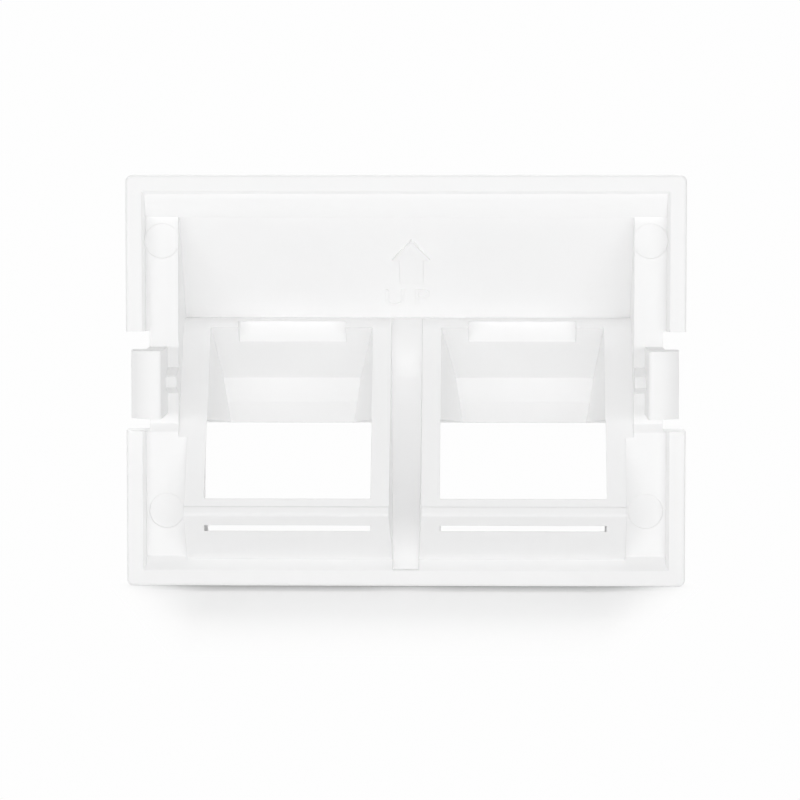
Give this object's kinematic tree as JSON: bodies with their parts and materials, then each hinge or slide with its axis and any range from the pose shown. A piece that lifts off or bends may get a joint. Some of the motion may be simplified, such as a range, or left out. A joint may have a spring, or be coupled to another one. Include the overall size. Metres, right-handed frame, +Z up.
{
  "type": "angled data outlet adapter",
  "caption": "White moulded frame that snaps into a panel cut-out and holds keystone data jacks tilted forwards and down under a sloping hood with tapering visors.",
  "frame": {"origin": "middle of the panel cut-out, in the plane of the frame's back face, where it meets the panel", "axes": "+X across the adapter, +Y out of the panel towards the user, +Z up"},
  "size_m": [0.05, 0.0205, 0.0368],
  "materials": {
    "white_plastic": "fine moulded satin"
  },
  "bodies": {
    "root": {"adapter_housing": "white_plastic"}
  },
  "joints": []
}
